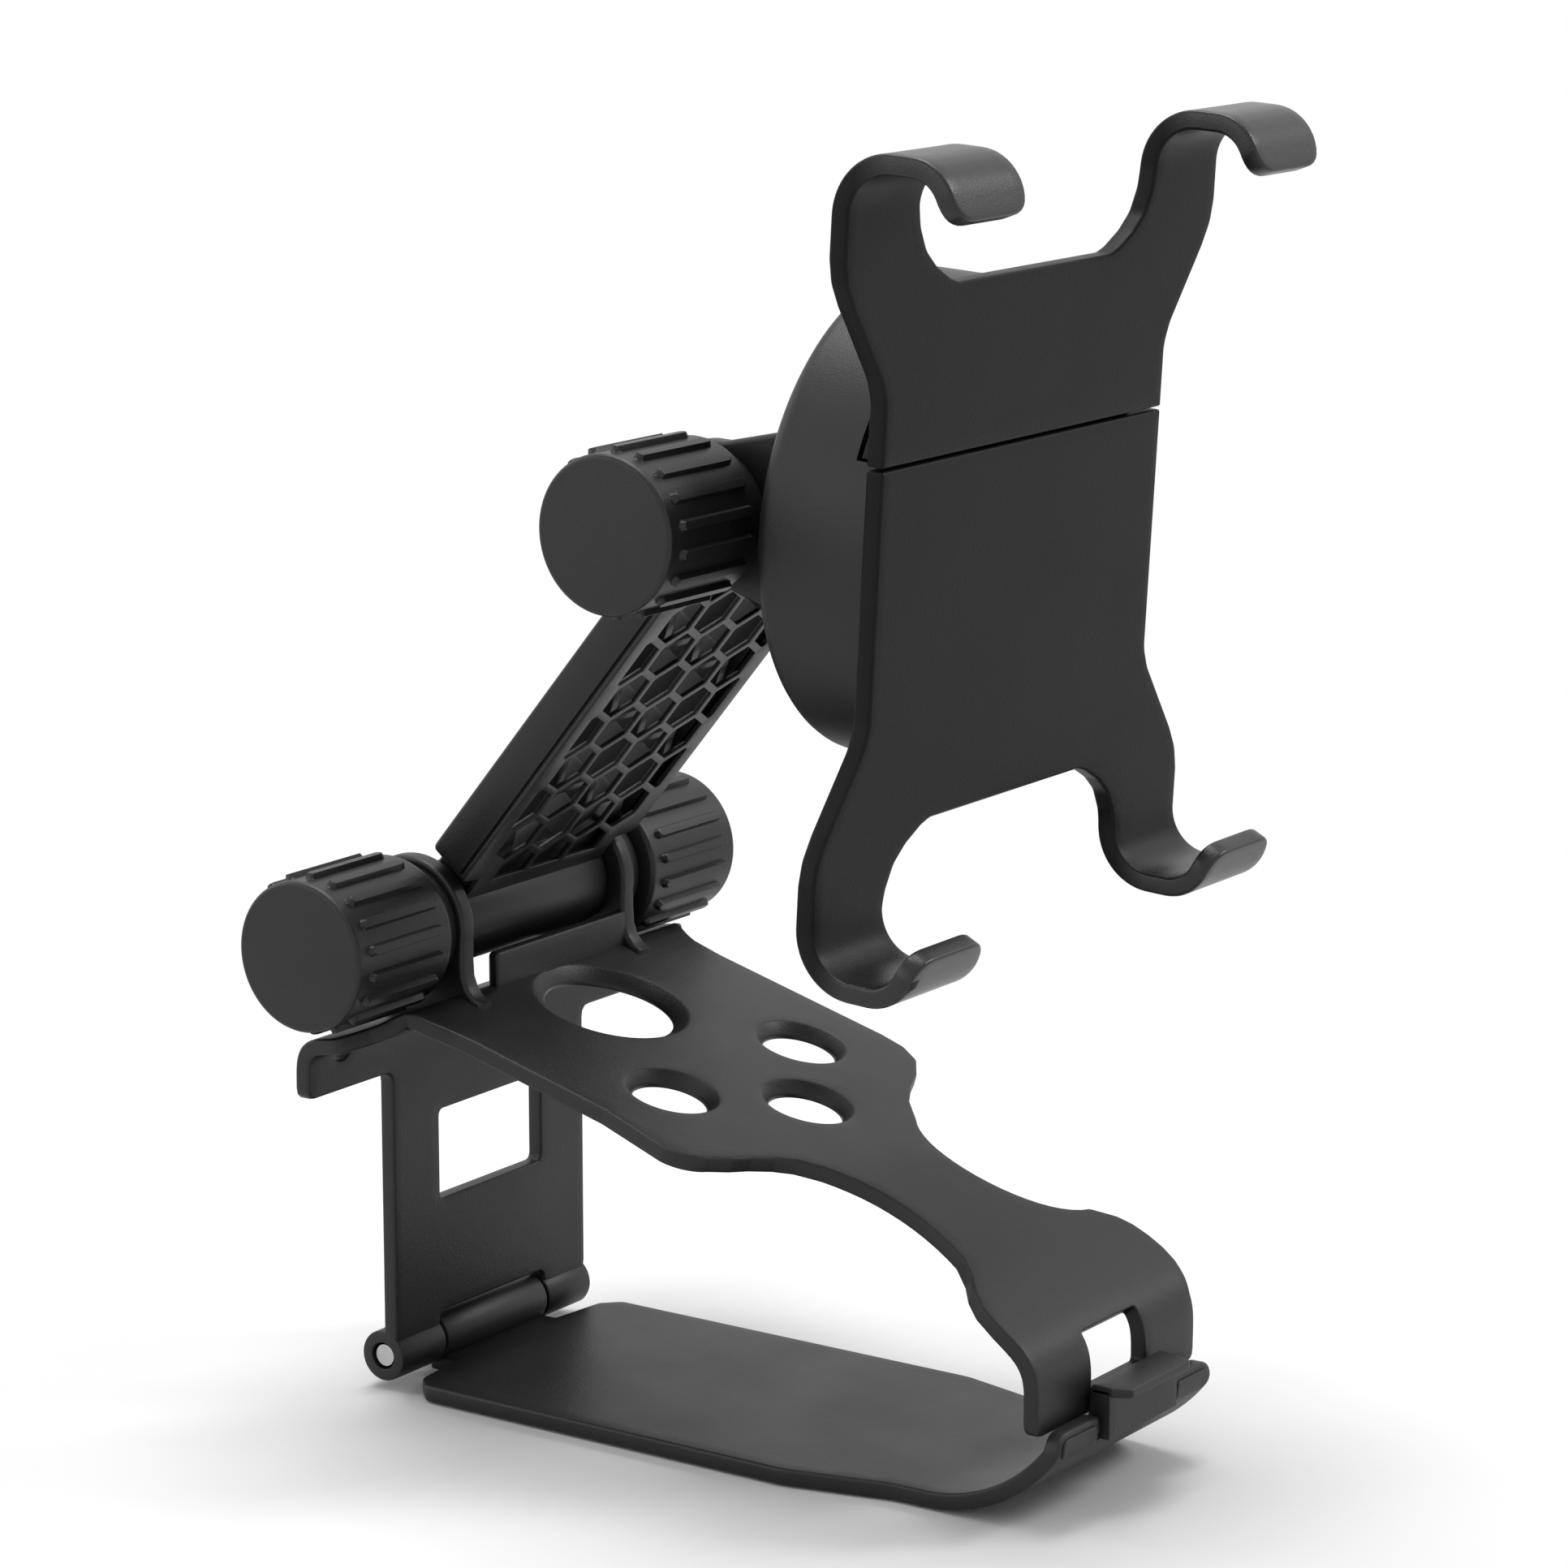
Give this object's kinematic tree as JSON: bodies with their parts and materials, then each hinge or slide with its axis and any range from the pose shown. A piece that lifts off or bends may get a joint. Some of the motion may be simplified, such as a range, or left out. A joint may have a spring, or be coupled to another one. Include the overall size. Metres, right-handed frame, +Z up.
{
  "type": "phone clip for a gamepad",
  "caption": "Hinged clip that clamps round the middle of a gamepad and holds a phone above it on a tilting honeycomb arm with a round sprung holder and claws.",
  "frame": {"origin": "middle of the flat underside of the lower strap, on which the clip rests", "axes": "+X to the player's right, +Y away from the player, +Z up"},
  "size_m": [0.0686, 0.0931, 0.1391],
  "materials": {
    "shell": "moulded black plastic with a fine matt texture",
    "arm": "moulded black plastic, matt, smooth rim round the honeycomb panel",
    "knob": "moulded black plastic with raised ribs",
    "clamp": "moulded black plastic with a fine grain, a little shinier on the claws",
    "rubber": "soft black rubber",
    "steel": "zinc plated steel"
  },
  "bodies": {
    "base": {"faceplate": "shell", "lower_bolt": "steel", "lower_bush_left": "rubber", "lower_bush_right": "rubber"},
    "strap": {"under_strap": "shell", "strap_pin": "steel", "latch_pin": "steel", "latch_spring": "steel"},
    "latch_lever": {"latch": "shell"},
    "tilt_arm": {"arm": "arm"},
    "holder": {"drum_housing": "clamp", "lower_plate": "clamp", "guide_rod_left": "steel", "guide_rod_right": "steel", "clamp_spring_left": "steel", "clamp_spring_right": "steel", "housing_screw_upper_left": "steel", "housing_screw_upper_right": "steel", "housing_screw_lower_left": "steel", "housing_screw_lower_right": "steel", "upper_bolt": "steel", "upper_bush_left": "rubber", "upper_bush_right": "rubber"},
    "clamp_carriage": {"carriage": "clamp"},
    "lower_left_knob": {"lower_knob_left": "knob"},
    "lower_right_knob": {"lower_knob_right": "knob"},
    "upper_left_knob": {"upper_knob_left": "knob"},
    "upper_right_knob": {"upper_knob_right": "knob"}
  },
  "joints": [
    {"name": "arm_tilt", "type": "hinge", "parent": "base", "child": "tilt_arm", "pos_m": [0, 0.04, 0.052], "axis": [1, 0, 0], "range_deg": [-70, 10]},
    {"name": "holder_tilt", "type": "hinge", "parent": "tilt_arm", "child": "holder", "pos_m": [0, 0.00037, 0.10007], "axis": [1, 0, 0], "range_deg": [-75, 40]},
    {"name": "clamp_slide", "type": "slide", "parent": "holder", "child": "clamp_carriage", "axis": [0, -0.0576, 0.9983], "range_m": [0, 0.022], "stiffness_N_per_m": 120, "springref_m": -0.01, "deforming": ["clamp_spring_left", "clamp_spring_right"]},
    {"name": "strap_open", "type": "hinge", "parent": "base", "child": "strap", "pos_m": [0, 0.0432, 0.0036], "axis": [1, 0, 0], "range_deg": [0, 50]},
    {"name": "latch_press", "type": "hinge", "parent": "strap", "child": "latch_lever", "pos_m": [0, -0.04076, 0.00907], "axis": [1, 0, 0], "range_deg": [0, 12], "stiffness_Nm_per_rad": 0.01, "springref_deg": -11.46},
    {"name": "lower_left_knob_turn", "type": "hinge", "parent": "base", "child": "lower_left_knob", "pos_m": [0, 0.04, 0.052], "axis": [-1, 0, 0], "continuous": true},
    {"name": "lower_right_knob_turn", "type": "hinge", "parent": "base", "child": "lower_right_knob", "pos_m": [0, 0.04, 0.052], "axis": [1, 0, 0], "continuous": true},
    {"name": "upper_left_knob_turn", "type": "hinge", "parent": "holder", "child": "upper_left_knob", "pos_m": [0, 0.00037, 0.10007], "axis": [-1, 0, 0], "continuous": true},
    {"name": "upper_right_knob_turn", "type": "hinge", "parent": "holder", "child": "upper_right_knob", "pos_m": [0, 0.00037, 0.10007], "axis": [1, 0, 0], "continuous": true}
  ]
}
